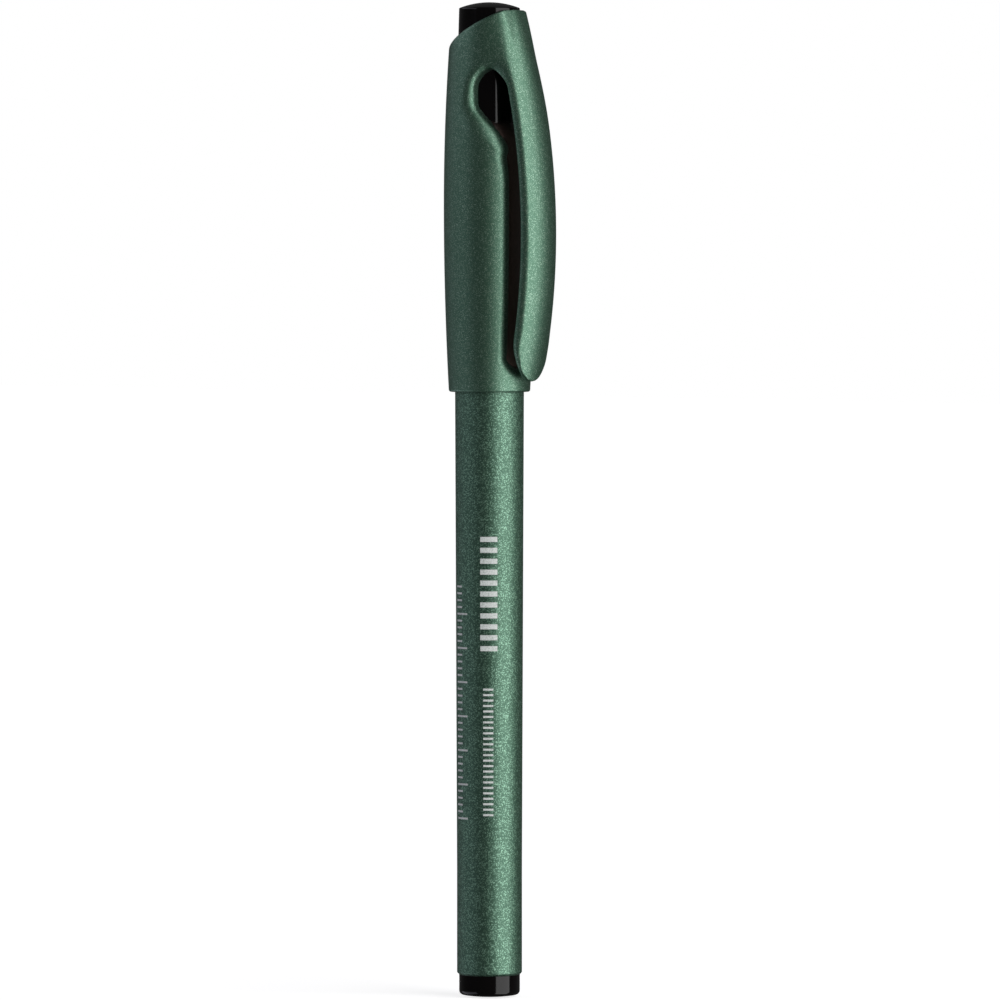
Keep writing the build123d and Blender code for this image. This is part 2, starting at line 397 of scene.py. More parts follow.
@dataclass(frozen=True)
class PadInk(Finish):
    """Pale ink stamped on by a soft pad."""

    colour: str
    thin: str
    mottle: float
    mottle_detail: float = 3.0
    thin_from: float = 0.45
    thin_to: float = 0.75
    roughness: float = 0.45

    def surface(self, sheet: NodeSheet) -> dict:
        """Flat pale ink, a little thinner in spots where the pad carried less.

        Args:
            sheet: The nodes of the material.

        Returns:
            The inputs of the principled surface.
        """
        spots = sheet.noise(sheet.place(), self.mottle, self.mottle_detail)
        cover = sheet.spread(spots, (self.thin_from, self.thin_to), (0.0, 1.0))
        colour = sheet.two_tones(cover, linear(self.colour), linear(self.thin))
        return {"Base Color": colour, "Roughness": self.roughness}


@dataclass
class Finishes:
    """Every finish of the pen, made into a material once."""

    barrel_lacquer: Material = field(init=False)
    cap_lacquer: Material = field(init=False)
    gloss_black: Material = field(init=False)
    liner_black: Material = field(init=False)
    matt_black: Material = field(init=False)
    steel: Material = field(init=False)
    nib: Material = field(init=False)
    fibre: Material = field(init=False)
    film: Material = field(init=False)
    ink: Material = field(init=False)

    def __post_init__(self) -> None:
        """Makes the materials."""
        self.barrel_lacquer = MetallicLacquer(
            name="coarse_flake_green_lacquer",
            colour="#456252",
            painted_glint="#88AE98",
            roughness=0.52,
            flake=0.12,
            tilt=0.08,
            plain_share=0.62,
        ).material()
        self.cap_lacquer = MetallicLacquer(
            name="fine_flake_green_lacquer",
            colour="#4C6C5A",
            painted_glint="#93AF9D",
            roughness=0.48,
            flake=0.08,
            tilt=0.04,
            plain_share=0.78,
        ).material()
        polished = MouldedPlastic(
            name="polished_black_polypropylene",
            colour="#040303",
            worn="#080606",
            roughness=0.08,
            roughness_spread=0.02,
            grain=0.5,
            grain_height=0.001,
            shine=0.25,
        )
        self.gloss_black = polished.material()
        # Low on the inner cap, seen through the slot under the clip, a paler brown is painted in for the
        # dim light reflected there.
        self.liner_black = replace(
            polished, name="inner_cap_black_polypropylene", inside="#5E4E47", painted_light_below=127.4
        ).material()
        self.matt_black = MouldedPlastic(
            name="matt_black_polypropylene",
            colour="#0B0A0A",
            worn="#121111",
            roughness=0.42,
            roughness_spread=0.05,
            grain=0.25,
            grain_height=0.012,
            shine=0.5,
        ).material()
        self.nib = MouldedPlastic(
            name="inked_acetal_nib",
            colour="#16130F",
            worn="#241F1A",
            roughness=0.5,
            roughness_spread=0.06,
            grain=0.06,
            grain_height=0.004,
            shine=0.5,
        ).material()
        self.steel = DrawnSteel(
            "drawn_stainless_steel", colour="#C9C8C4", shade="#AFAFAC", roughness=0.24, line=0.04
        ).material()
        self.fibre = BondedFibre(
            "ink_soaked_polyester_fibre", colour="#120F12", dry="#4A444C", fibre=0.12
        ).material()
        self.film = ClearFilm(
            "clear_polypropylene_film", colour="#E6EEF2", haze="#CBD8DE", wrinkle=1.5
        ).material()
        self.ink = PadInk("pale_pad_print", colour="#D9DDDA", thin="#A9B3AC", mottle=0.2).material()


@dataclass(frozen=True)
class Corner:
    """A corner of a turned outline: its radius and height, and the radius that eases it."""

    r: float
    z: float
    ease: float = 0.0

    def spot(self) -> np.ndarray:
        """Radius and height as one row."""
        return np.array((self.r, self.z))


@dataclass(frozen=True)
class Outline:
    """A turned piece's outline, eased at its corners and divided for smooth shading."""

    corners: Sequence[Corner]
    # True where the last corner joins the first, False where both ends lie on the axis.
    closed: bool
    steps: int = 8
    most_share: float = 0.49
    long_face: float = 0.8
    loop_inset: float = 0.12
    loop_spacing: float = 6.0

    def eased_corner(self, place: int) -> list[np.ndarray]:
        """Rounds one corner by an arc that leaves room for its neighbours.

        Args:
            place: The corner's number.

        Returns:
            The points that stand for the corner.
        """
        corner = self.corners[place]
        here = corner.spot()
        count = len(self.corners)
        if corner.ease <= 0 or (not self.closed and place in (0, count - 1)):
            return [here]
        before = self.corners[place - 1].spot() - here
        after = self.corners[(place + 1) % count].spot() - here
        u = before / np.linalg.norm(before)
        v = after / np.linalg.norm(after)
        half = math.acos(float(np.clip(u @ v, -1, 1))) / 2
        reach = corner.ease / math.tan(half)
        most = self.most_share * min(np.linalg.norm(before), np.linalg.norm(after))
        scale = min(1.0, most / reach)
        centre = here + (u + v) / np.linalg.norm(u + v) * (corner.ease * scale) / math.sin(half)
        first = here + u * reach * scale - centre
        last = here + v * reach * scale - centre
        turn = math.atan2(first[0] * last[1] - first[1] * last[0], float(first @ last))
        points = []
        for k in range(self.steps + 1):
            a = turn * k / self.steps
            spin = np.array(((math.cos(a), -math.sin(a)), (math.sin(a), math.cos(a))))
            points.append(centre + spin @ first)
        return points

    def points(self) -> list[tuple[float, float]]:
        """Goes round the corners; loops near both ends of a long face keep its shading straight.

        Returns:
            Radius and height of each point.
        """
        raw = [point for place in range(len(self.corners)) for point in self.eased_corner(place)]
        points: list[tuple[float, float]] = []
        for i in range(len(raw) if self.closed else len(raw) - 1):
            a, b = raw[i], raw[(i + 1) % len(raw)]
            length = float(np.linalg.norm(b - a))
            shares = [0.0]
            if length > self.long_face:
                inner = int(length / self.loop_spacing)
                shares.append(self.loop_inset / length)
                shares += [k / (inner + 1) for k in range(1, inner + 1)]
                shares.append(1 - self.loop_inset / length)
            points += [tuple((a + (b - a) * share).tolist()) for share in shares]
        if not self.closed:
            points.append(tuple(raw[-1].tolist()))
        return points


def mesh_object(name: str, mesh: Mesh, material: Material) -> Object:
    """Puts a mesh in the scene as an object at the origin with one material.

    Args:
        name: Name of the piece.
        mesh: Its mesh, in metres and in place.
        material: Its material.

    Returns:
        The object.
    """
    made = bpy.data.objects.new(name, mesh)
    bpy.context.scene.collection.objects.link(made)
    mesh.materials.clear()
    mesh.materials.append(material)
    return made


def turned_mesh(
    name: str, outline: Outline, segments: int = 192, sharp_angle: float = 38.0
) -> Mesh:
    """Spins an outline round the pen's axis into a closed, smooth-shaded mesh.

    Args:
        name: Name of the mesh.
        outline: The outline.
        segments: Number of faces round the axis.
        sharp_angle: Edges that bend more than this stay sharp.

    Returns:
        The mesh.
    """
    turns = [2 * math.pi * k / segments for k in range(segments)]
    spokes = [(math.cos(turn), math.sin(turn)) for turn in turns]
    vertices: list[tuple[float, float, float]] = []
    rings: list[list[int]] = []
    for r, z in outline.points():
        if r < TINY:
            rings.append([len(vertices)])
            vertices.append((0.0, 0.0, z * MM))
        else:
            rings.append(list(range(len(vertices), len(vertices) + segments)))
            vertices += [(r * c * MM, r * s * MM, z * MM) for c, s in spokes]
    faces: list[tuple[int, ...]] = []
    joins = len(rings) if outline.closed else len(rings) - 1
    for i in range(joins):
        low, high = rings[i], rings[(i + 1) % len(rings)]
        for k in range(segments):
            n = (k + 1) % segments
            if len(low) == 1:
                faces.append((low[0], high[n], high[k]))
            elif len(high) == 1:
                faces.append((low[k], low[n], high[0]))
            else:
                faces.append((low[k], low[n], high[n], high[k]))
    mesh = bpy.data.meshes.new(name)
    mesh.from_pydata(vertices, [], faces)
    shape = bmesh.new()
    shape.from_mesh(mesh)
    bmesh.ops.recalc_face_normals(shape, faces=shape.faces)
    shape.to_mesh(mesh)
    shape.free()
    mesh.shade_smooth()
    mesh.set_sharp_from_angle(angle=math.radians(sharp_angle))
    return mesh


def smooth_step(t: np.ndarray) -> np.ndarray:
    """Eases 0 to 1 with a flat start and end."""
    t = np.clip(t, 0, 1)
    return t * t * (3 - 2 * t)


def soft_min(a: np.ndarray, b: np.ndarray, width: np.ndarray | float) -> np.ndarray:
    """Joins two distance fields with a soft hollow between them.

    Args:
        a: First field.
        b: Second field.
        width: How wide the hollow is; 0 gives a sharp join.

    Returns:
        The joined field.
    """
    near = np.maximum(width - np.abs(a - b), 0)
    return np.minimum(a, b) - near * near / (4 * np.maximum(width, TINY))


def eased_max(
    a: np.ndarray, b: np.ndarray, lean: np.ndarray | float, radius: np.ndarray | float
) -> np.ndarray:
    """Cuts one distance field by another, with the edge between them rounded.

    Args:
        a: First field.
        b: Second field.
        lean: Cosine of the angle between the normals of the two surfaces.
        radius: Radius of the rounding.

    Returns:
        The joined field.
    """
    u = a + radius
    v = b + radius
    spread = np.maximum(1 - np.square(lean), LEAST_BEND)
    reach = np.sqrt(np.maximum(u * u + v * v - 2 * lean * u * v, 0) / spread)
    on_edge = (u > lean * v) & (v > lean * u)
    return np.where(on_edge, reach - radius, np.maximum(a, b))


@dataclass(frozen=True)
class CapForm:
    """Form of the cap shell and its clip as one moulding: a distance field, negative inside."""

    # Shell
    lip_z: float = 88.9
    lip_radius: float = 5.96
    lip_round: float = 0.3
    belly_z: float = 116.2
    belly_radius: float = 6.7
    shoulder_z: float = 139.1
    shoulder_radius: float = 5.94
    crown_z: float = 145.3
    crown_radius: float = 4.9
    # Bore, the ledge in it and the slanted rim
    bore: float = 5.3
    bore_round: float = 0.12
    neck_bore: float = 4.72
    eye_bore: float = 4.3
    eye_bore_z: float = 139.5
    eye_bore_run: float = 2.0
    ledge_z: float = 126.4
    ledge_slope: float = 1.9
    rim_z: float = 142.0
    rim_angle: float = 30.5
    rim_round: float = 0.4
    rim_sharpening: float = 0.55
    rim_sharpening_run: float = 5.0
    # Opening: a round eye that runs down into a slot under the clip
    eye_angle: float = 77.5
    eye_z: float = 132.9
    eye_radius: float = 3.47
    eye_hold: float = 1.6
    eye_tail: float = 7.5
    slot_angle: float = 14.2
    slot_turn: float = 90.0
    turn_hold: float = 2.7
    slot_end_z: float = 94.3
    slot_end_radius: float = 1.6
    gap_round: float = 1.45
    eye_round: float = 2.2
    eye_round_top: float = 1.0
    eye_round_rise: float = 5.0
    eye_round_foot: float = 13.0
    eye_round_fall: float = 7.0
    wall_lean_limit: float = 0.9
    # Clip: two arcs that meet at its apex, with a crowned face, a tip and a foot
    clip_width: float = 7.3
    clip_thickness: float = 2.05
    clip_crown: float = 6.7
    crown_top: float = 5.2
    crown_start: float = 8.0
    crown_run: float = 12.0
    clip_edge: float = 1.1
    clip_edge_lean: float = 0.4
    clip_inner_edge: float = 0.3
    apex_x: float = 10.9
    apex_z: float = 112.0
    upper_radius: float = 94.5
    lower_radius: float = 90.0
    tip_z: float = 90.5
    tip_length: float = 6.2
    tip_thinning: float = 1.1
    tip_edge: float = 0.35
    tip_edge_lead: float = 2.0
    foot_x: float = 8.926
    foot_z: float = 93.9
    foot_radius: float = 2.6
    foot_depth: float = 1.0
    foot_blend: float = 0.7
    # Root, where the clip grows out of the shell
    root_z: float = 135.3
    root_start: float = 1.9
    root_run: float = 5.0
    root_flare: float = 1.1
    root_narrowing: float = 0.58
    narrowing_start: float = 0.5
    narrowing_run: float = 8.5
    root_depth: float = 4.5
    root_blend: float = 1.25
    blend_start: float = 5.0
    blend_run: float = 6.0
    blend_depth: float = 0.43
    # Steps for the slopes that are measured
    wall_step: float = 0.05
    field_step: float = 0.01

    def outer_radius(self, z: np.ndarray) -> np.ndarray:
        """Radius of the shell's outside.

        Args:
            z: Heights.

        Returns:
            The radius at each height.
        """
        swell = self.belly_radius - self.lip_radius
        rise = self.belly_z - self.lip_z
        low_arc = (swell**2 + rise**2) / (2 * swell)
        up = np.square(z - self.belly_z)
        low = self.belly_radius - low_arc + np.sqrt(np.maximum(low_arc**2 - up, 0))
        fall = self.belly_radius - self.shoulder_radius
        climb = self.shoulder_z - self.belly_z
        high_arc = (fall**2 + climb**2) / (2 * fall)
        high = self.belly_radius - high_arc + np.sqrt(np.maximum(high_arc**2 - up, 0))
        start = math.asin(climb / high_arc)
        run = self.crown_z - self.shoulder_z
        inset = self.shoulder_radius - self.crown_radius
        bend = math.atan2(inset, run) - start
        top_arc = math.hypot(inset, run) / (2 * math.sin(bend))
        centre_r = self.shoulder_radius - top_arc * math.cos(start)
        centre_z = self.shoulder_z - top_arc * math.sin(start)
        top = centre_r + np.sqrt(np.maximum(top_arc**2 - (z - centre_z) ** 2, 0))
        return np.where(z < self.belly_z, low, np.where(z < self.shoulder_z, high, top))

    def wall(self, x: np.ndarray, v: np.ndarray, z: np.ndarray) -> tuple[np.ndarray, ...]:
        """Finds the opening's wall, which faces the clip at the eye and turns across it in the slot.

        Args:
            x: Reach towards the clip.
            v: Reach across the clip, on either side.
            z: Heights.

        Returns:
            How far each point lies outside the opening, and the wall's facing along x and v.
        """
        down = smooth_step((self.eye_z - self.eye_hold - z) / self.eye_tail)
        turn = np.radians(self.slot_turn * smooth_step((self.eye_z - self.turn_hold - z) / self.eye_tail))
        edge = np.radians(self.eye_angle + (self.slot_angle - self.eye_angle) * down)
        ahead, across = np.cos(turn), np.sin(turn)
        return self.outer_radius(z) * np.cos(edge + turn) - x * ahead + v * across, ahead, across

    def shell(self, x: np.ndarray, y: np.ndarray, z: np.ndarray) -> np.ndarray:
        """Body of the cap with its opening.

        Args:
            x: Reach towards the clip.
            y: Reach across the clip.
            z: Heights.

        Returns:
            The distance field.
        """
        v = np.abs(y)
        r = np.maximum(np.hypot(x, y), TINY)
        body = r - self.outer_radius(z)
        raw, ahead, across = self.wall(x, v, z)
        step = self.wall_step
        climb = (self.wall(x, v, z + step)[0] - self.wall(x, v, z - step)[0]) / (2 * step)
        steep = np.sqrt(1 + climb * climb)
        side = raw / steep
        lean = (x * ahead - v * across) / (r * steep)
        centre_x = self.outer_radius(z) * math.cos(math.radians(self.eye_angle)) + self.eye_radius
        inward = np.maximum(centre_x - x, 0)
        arch = np.maximum(np.hypot(inward, z - self.eye_z), TINY)
        in_arch = z > self.eye_z
        gap = np.where(in_arch, arch - self.eye_radius, side)
        lean = np.where(in_arch, x * inward / (r * arch), lean)
        end = np.hypot(v, np.minimum(z - self.slot_end_z, 0)) - self.slot_end_radius
        gap = np.where(z < self.slot_end_z, end, gap)
        gap = np.where(x > 0, gap, np.maximum(gap, -x))
        below_top = smooth_step((self.eye_z + self.eye_round_top - z) / self.eye_round_rise)
        above_foot = smooth_step((z - self.eye_z + self.eye_round_foot) / self.eye_round_fall)
        ease = self.gap_round + (self.eye_round - self.gap_round) * (below_top * above_foot)
        lean = np.clip(lean, -self.wall_lean_limit, self.wall_lean_limit)
        return eased_max(body, -gap, lean, ease)

    def clip_depth(self, x: np.ndarray, z: np.ndarray) -> np.ndarray:
        """Depth of points under the clip's outer face.

        Args:
            x: Reach towards the clip.
            z: Heights.

        Returns:
            The depth at each point.
        """
        arc = np.where(z > self.apex_z, self.upper_radius, self.lower_radius)
        return arc - np.hypot(x - self.apex_x + arc, z - self.apex_z)

    def clip(self, x: np.ndarray, y: np.ndarray, z: np.ndarray) -> np.ndarray:
        """Clip bar with its crowned face, rounded tip and foot.

        Args:
            x: Reach towards the clip.
            y: Reach across the clip.
            z: Heights.

        Returns:
            The distance field.
        """
        depth = self.clip_depth(x, z)
        above_root = z - self.root_z
        near_root = smooth_step((above_root + self.root_start) / self.root_run)
        spread = np.clip(depth / self.root_depth, 0, 1)
        half = self.clip_width / 2 + self.root_flare * spread * near_root
        half -= self.root_narrowing * smooth_step((above_root - self.narrowing_start) / self.narrowing_run)
        to_top = smooth_step((above_root + self.crown_start) / self.crown_run)
        crown = self.clip_crown + (self.crown_top - self.clip_crown) * to_top
        face = np.hypot(crown - depth, y) - crown
        past = np.minimum(z - self.tip_z - self.tip_length, 0)
        k = np.hypot(y / half, past / self.tip_length)
        pull = np.hypot(y / half**2, past / self.tip_length**2)
        side = np.where(past < 0, k * (k - 1) / np.maximum(pull, TINY), np.abs(y) - half)
        tip_top = self.tip_z + self.tip_length
        to_tip = smooth_step((tip_top + self.tip_edge_lead - z) / self.tip_length)
        edge = self.clip_edge + (self.tip_edge - self.clip_edge) * to_tip
        bar = eased_max(face, side, self.clip_edge_lean, edge)
        thickness = self.clip_thickness + (self.root_depth - self.clip_thickness) * near_root
        thickness -= self.tip_thinning * smooth_step((tip_top - z) / self.tip_length)
        bar = eased_max(bar, depth - thickness, 0.0, self.clip_inner_edge)
        ball = np.sqrt((x - self.foot_x) ** 2 + y**2 + (z - self.foot_z) ** 2) - self.foot_radius
        foot = np.maximum(ball, self.foot_depth - depth)
        return soft_min(bar, foot, self.foot_blend)

    def value(self, points: np.ndarray) -> np.ndarray:
        """Whole moulding: shell and clip grown together at the root, rim, lip and bore.

        Args:
            points: Rows of x, y and z.

        Returns:
            The distance field at each row.
        """
        x, y, z = points[:, 0], points[:, 1], points[:, 2]
        blend = self.root_blend * smooth_step((z - self.root_z + self.blend_start) / self.blend_run)
        blend *= smooth_step(self.clip_depth(x, z) / self.blend_depth)
        solid = soft_min(self.shell(x, y, z), self.clip(x, y, z), blend)
        slope = math.radians(self.rim_angle)
        r = np.maximum(np.hypot(x, y), TINY)
        rim = (z - self.rim_z) * math.cos(slope) - x * math.sin(slope)
        sharper = self.rim_sharpening * smooth_step(x / self.rim_sharpening_run)
        round_off = self.rim_round * (1 - sharper)
        solid = eased_max(solid, rim, -x / r * math.sin(slope), round_off)
        solid = eased_max(solid, self.lip_z - z, 0.0, self.lip_round)
        ledge = (z - self.ledge_z + self.ledge_slope * (r - self.bore)) / math.hypot(1, self.ledge_slope)
        at_eye = smooth_step((self.eye_bore_z - z) / self.eye_bore_run)
        neck = self.neck_bore + (self.eye_bore - self.neck_bore) * at_eye
        bore = np.minimum(np.maximum(r - self.bore, ledge), r - neck)
        return eased_max(solid, -bore, 0.0, self.bore_round)

    def slope(self, points: np.ndarray) -> np.ndarray:
        """Direction in which the field grows, by small steps along each axis.

        Args:
            points: Rows of x, y and z.

        Returns:
            The gradient at each row.
        """
        rows = np.zeros_like(points)
        for axis in range(3):
            shift = np.zeros(3)
            shift[axis] = self.field_step
            rows[:, axis] = self.value(points + shift) - self.value(points - shift)
        return rows / (2 * self.field_step)


@dataclass(frozen=True)
class SurfaceNet:
    """Quad mesh over the zero surface of a form, one point per cell of an even grid."""

    pitch: float
    rounds: int = 4
    least_slope: float = 0.05
    longest_pull: float = 0.2

    def mesh(self, form: CapForm, low: np.ndarray, high: np.ndarray) -> tuple[np.ndarray, np.ndarray]:
        """Finds the surface, then pulls each point exactly on to it.

        Args:
            form: The form to be meshed.
            low: Lowest corner of the box to search.
            high: Highest corner.

        Returns:
            The points and the quads, which face outwards.
        """
        counts = np.ceil((high - low) / self.pitch).astype(int) + 1
        axes = [low[i] + self.pitch * np.arange(counts[i]) for i in range(3)]
        lattice = np.stack(np.meshgrid(*axes, indexing="ij"), axis=-1).reshape(-1, 3)
        levels = form.value(lattice).reshape(counts)
        inside = levels < 0
        corners = [(i, j, k) for i in (0, 1) for j in (0, 1) for k in (0, 1)]
        cells = counts - 1
        total = np.zeros(cells, int)
        for i, j, k in corners:
            total += inside[i : i + cells[0], j : j + cells[1], k : k + cells[2]]
        mixed = np.argwhere((total > 0) & (total < len(corners)))
        where = np.full(cells, -1)
        where[tuple(mixed.T)] = np.arange(len(mixed))
        summed = np.zeros((len(mixed), 3))
        hits = np.zeros(len(mixed))
        for a in corners:
            for axis in range(3):
                if a[axis]:
                    continue
                b = list(a)
                b[axis] = 1
                level_a = levels[tuple((mixed + a).T)]
                level_b = levels[tuple((mixed + b).T)]
                crossed = (level_a < 0) != (level_b < 0)
                share = np.where(crossed, level_a / np.where(crossed, level_a - level_b, 1), 0)
                spot = mixed + np.array(a, float)
                spot[:, axis] += share
                summed += spot * crossed[:, None]
                hits += crossed
        points = low + self.pitch * summed / hits[:, None]
        for _ in range(self.rounds):
            slope = form.slope(points)
            steep = np.maximum((slope * slope).sum(1), self.least_slope)
            pull = np.clip(form.value(points) / steep, -self.longest_pull, self.longest_pull)
            points = points - slope * pull[:, None]
        quads = []
        for axis in range(3):
            u, v = (axis + 1) % 3, (axis + 2) % 3
            near = [slice(None)] * 3
            far = [slice(None)] * 3
            near[axis] = slice(0, cells[axis])
            far[axis] = slice(1, counts[axis])
            for grid in (near, far):
                grid[u] = slice(1, cells[u])
                grid[v] = slice(1, cells[v])
            in_near, in_far = inside[tuple(near)], inside[tuple(far)]
            for leaving in (True, False):
                edge = np.argwhere((in_near != in_far) & (in_near == leaving))
                edge[:, u] += 1
                edge[:, v] += 1
                ring = []
                for du, dv in ((-1, -1), (0, -1), (0, 0), (-1, 0)):
                    cell = edge.copy()
                    cell[:, u] += du
                    cell[:, v] += dv
                    ring.append(where[tuple(cell.T)])
                quads.append(np.stack(ring if leaving else ring[::-1], axis=1))
        return points, np.concatenate(quads)


def piece_of_net(
    name: str, points: np.ndarray, quads: np.ndarray, normals: np.ndarray, material: Material
) -> Object:
    """Makes a piece from some quads of a net, shaded by the form's own normals.

    Args:
        name: Name of the piece.
        points: All points of the net, in millimetres.
        quads: The quads of this piece.
        normals: Unit normal of each point.
        material: Its material.

    Returns:
        The piece.
    """
    used, renumbered = np.unique(quads, return_inverse=True)
    mesh = bpy.data.meshes.new(name)
    mesh.from_pydata((points[used] * MM).tolist(), [], renumbered.reshape(quads.shape).tolist())
    mesh.shade_smooth()
    mesh.normals_split_custom_set_from_vertices(normals[used].tolist())
    return mesh_object(name, mesh, material)


@dataclass
class SubAssembly:
    """Pieces of the pen that are built and dressed together."""

    finishes: Finishes


@dataclass
class Barrel(SubAssembly):
    """The long painted tube, its rear plug and the ink rod inside."""

    rear_z: float = 3.3
    front_z: float = 90.2
    rear_radius: float = 4.77
    front_radius: float = 5.06
    bore: float = 4.05
    bore_ease: float = 0.1
    parallel_z: float = 19.3
    chamfer: float = 0.3
    chamfer_ease: float = 0.06
    rear_ease: float = 0.25
    front_ease: float = 0.2
    segments: int = 256
    plug_radius: float = 4.46
    plug_round: float = 1.05
    plug_top_ease: float = 0.05
    plug_dome: float = 26.0
    # The dome is drawn in steps, of which the last few are the edge's rounding.
    dome_steps: int = 16
    dome_points: int = 13
    stem_radius: float = 4.02
    stem_bore: float = 3.12
    stem_ease: float = 0.2
    stem_floor_ease: float = 0.1
    stem_z: float = 11.3
    rib_z: float = 12.9
    rib_thickness: float = 0.9

    def tube(self) -> Object:
        """Makes the drafted tube with a small chamfer at the rear and an eased front rim.

        Returns:
            The piece.
        """
        corners = (
            Corner(self.bore, self.rear_z),
            Corner(self.rear_radius - self.chamfer, self.rear_z, self.chamfer_ease),
            Corner(self.rear_radius, self.rear_z + self.chamfer, self.rear_ease),
            Corner(self.rear_radius, self.parallel_z),
            Corner(self.front_radius, self.front_z, self.front_ease),
            Corner(self.bore, self.front_z, self.bore_ease),
        )
        mesh = turned_mesh("barrel_skin", Outline(corners, True), self.segments)
        piece = mesh_object("barrel_skin", mesh, self.finishes.barrel_lacquer)
        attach(piece, Body.BARREL.value)
        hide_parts("barrel_tube")
        return piece

    def plug(self) -> Object:
        """Makes the round-edged plug head, its hollow stem and the cross of ribs that carries the ink rod.

        Returns:
            The piece.
        """
        spread = [self.plug_radius * k / self.dome_steps for k in range(self.dome_points)]
        sag = [self.plug_dome - math.sqrt(self.plug_dome**2 - r**2) for r in (*spread, self.plug_radius)]
        corners = (
            *(Corner(r, z) for r, z in zip(spread, sag)),
            Corner(self.plug_radius, sag[-1], self.plug_round),
            Corner(self.plug_radius, self.rear_z, self.plug_top_ease),
            Corner(self.stem_radius, self.rear_z),
            Corner(self.stem_radius, self.stem_z, self.stem_ease),
            Corner(self.stem_bore, self.stem_z, self.stem_ease),
            Corner(self.stem_bore, self.rear_z, self.stem_floor_ease),
            Corner(0, self.rear_z),
        )
        mesh = turned_mesh("plug_moulding", Outline(corners, False))
        shape = bmesh.new()
        shape.from_mesh(mesh)
        long = self.stem_bore + self.stem_radius
        tall = self.rib_z - self.rear_z
        for size in ((long, self.rib_thickness), (self.rib_thickness, long)):
            made = bmesh.ops.create_cube(shape, size=1.0)["verts"]
            bmesh.ops.scale(shape, vec=Vector((*size, tall)) * MM, verts=made)
            bmesh.ops.translate(shape, vec=(0, 0, (self.rear_z + tall / 2) * MM), verts=made)
        shape.to_mesh(mesh)
        shape.free()
        piece = mesh_object("plug_moulding", mesh, self.finishes.gloss_black)
        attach(piece, Body.BARREL.value)
        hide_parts("end_plug")
        return piece

    def ink_rod(self) -> None:
        """Dresses the hidden ink rod and its film, which keep their CAD meshes."""
        for node, material, slot in (
            ("ink_reservoir", self.finishes.fibre, Slot.FIBRE),
            ("reservoir_film", self.finishes.film, Slot.FILM),
        ):
            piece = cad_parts[node]
            piece.data.materials.clear()
            piece.data.materials.append(material)

    def build(self) -> list[Object]:
        """Builds and dresses the barrel's pieces."""
        self.ink_rod()
        return [self.tube(), self.plug()]


@dataclass(frozen=True)
class MarkColumn:
    """One column of printed strokes: how many, how far apart, how long, and where it starts."""

    name: str
    count: int
    pitch: float
    start_z: float
    start_angle: float
    short: float
    long: float
    # One stroke in this many is a long one.
    every: int
    stroke: float


